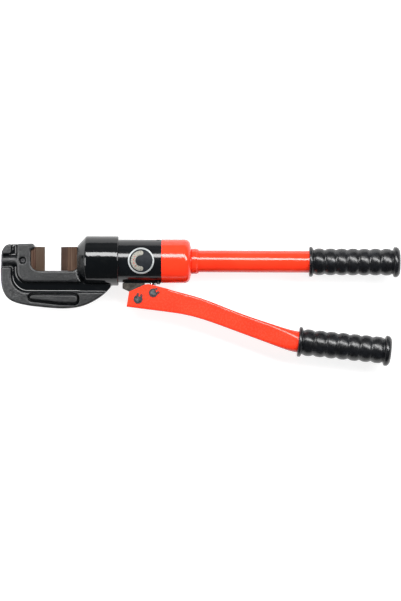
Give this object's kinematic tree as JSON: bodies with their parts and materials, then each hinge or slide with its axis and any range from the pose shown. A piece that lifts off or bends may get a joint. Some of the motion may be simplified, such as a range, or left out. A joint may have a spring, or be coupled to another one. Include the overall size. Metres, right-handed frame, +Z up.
{
  "type": "hydraulic bar cutter",
  "caption": "Hand-pumped hydraulic cutter for steel bar: C-shaped head with facing wedge blades, cylinder, pump lever and oil-filled handle with ribbed grips.",
  "frame": {"origin": "under the middle of the tool's box as it lies on its flat side, on the surface it lies on", "axes": "+X along the cylinder from the head to the grips, +Y towards the open side of the C (away from the lever), +Z up, square to the head's flat side"},
  "size_m": [0.5996, 0.1935, 0.075],
  "materials": {
    "black_enamel": "semi-gloss paint over a rough casting",
    "red_enamel": "gloss paint",
    "blade_steel": "tempered brown, ground",
    "blackened_steel": "oil blackened",
    "chromed_steel": "polished hard chrome",
    "seal_rubber": "moulded, satin",
    "backup_plastic": "turned, matt",
    "bearing_bronze": "turned",
    "spring_steel": "drawn wire",
    "badge_foil": "printed foil, satin",
    "grip_rubber": "moulded, semi-gloss",
    "brass": "turned",
    "bare_casting": "cast, phosphated",
    "ball_steel": "polished"
  },
  "bodies": {
    "frame": {"c_head": "black_enamel", "fixed_blade": "blade_steel", "fixed_blade_screw": "blackened_steel", "blade_lock_screw": "blackened_steel", "head_lock_screw": "blackened_steel", "ram_wiper": "seal_rubber", "ram_bush": "bearing_bronze", "return_spring": "spring_steel", "cylinder_body": "black_enamel", "body_o_ring": "seal_rubber", "badge": "badge_foil", "rear_housing": "red_enamel", "lock_ring": "red_enamel", "handle_tube": "red_enamel", "handle_grip": "grip_rubber", "tube_end_plug": "backup_plastic", "oil_bladder": "seal_rubber", "bladder_nipple": "brass", "bladder_clamp": "spring_steel", "oil_strainer": "brass", "fulcrum_lug": "bare_casting", "lug_screws": "blackened_steel", "plunger_seal": "seal_rubber", "plunger_gland": "blackened_steel", "delivery_ball": "ball_steel", "delivery_spring": "spring_steel", "delivery_plug": "spring_steel", "suction_ball": "ball_steel", "suction_spring": "spring_steel", "suction_seat": "brass", "relief_ball": "ball_steel", "relief_spring": "spring_steel", "relief_adjuster": "blackened_steel", "release_spring": "spring_steel", "release_plug": "blackened_steel"},
    "ram": {"ram": "chromed_steel", "piston_seal": "seal_rubber", "piston_backup_ring": "backup_plastic", "moving_blade": "blade_steel", "moving_blade_screw": "blackened_steel"},
    "lever": {"lever": "red_enamel", "lever_grip": "grip_rubber", "fulcrum_pin": "blackened_steel", "plunger_pin": "blackened_steel", "retaining_rings": "blackened_steel"},
    "plunger": {"plunger": "chromed_steel", "plunger_eye": "blackened_steel"},
    "release_valve": {"release_pin": "blackened_steel", "release_ball": "ball_steel"}
  },
  "joints": [
    {"name": "lever_pivot", "type": "hinge", "parent": "frame", "child": "lever", "pos_m": [-0.0935, 0.0017, 0.0375], "axis": [0, 0, 1], "range_deg": [-40, 11]},
    {"name": "plunger_stroke", "type": "slide", "parent": "frame", "child": "plunger", "axis": [0, 1, 0], "range_m": [-0.0168, 0.0047]},
    {"name": "ram_stroke", "type": "slide", "parent": "frame", "child": "ram", "axis": [-1, 0, 0], "range_m": [0, 0.0238], "stiffness_N_per_m": 3000, "springref_m": -0.01, "deforming": ["return_spring"]},
    {"name": "release_press", "type": "slide", "parent": "frame", "child": "release_valve", "axis": [0, 1, 0], "range_m": [0, 0.0015], "stiffness_N_per_m": 1500, "springref_m": -0.002, "deforming": ["release_spring"]}
  ],
  "couplings": [
    {"joint": "plunger_stroke", "follows": "lever_pivot", "m_per_rad": 0.0237}
  ]
}
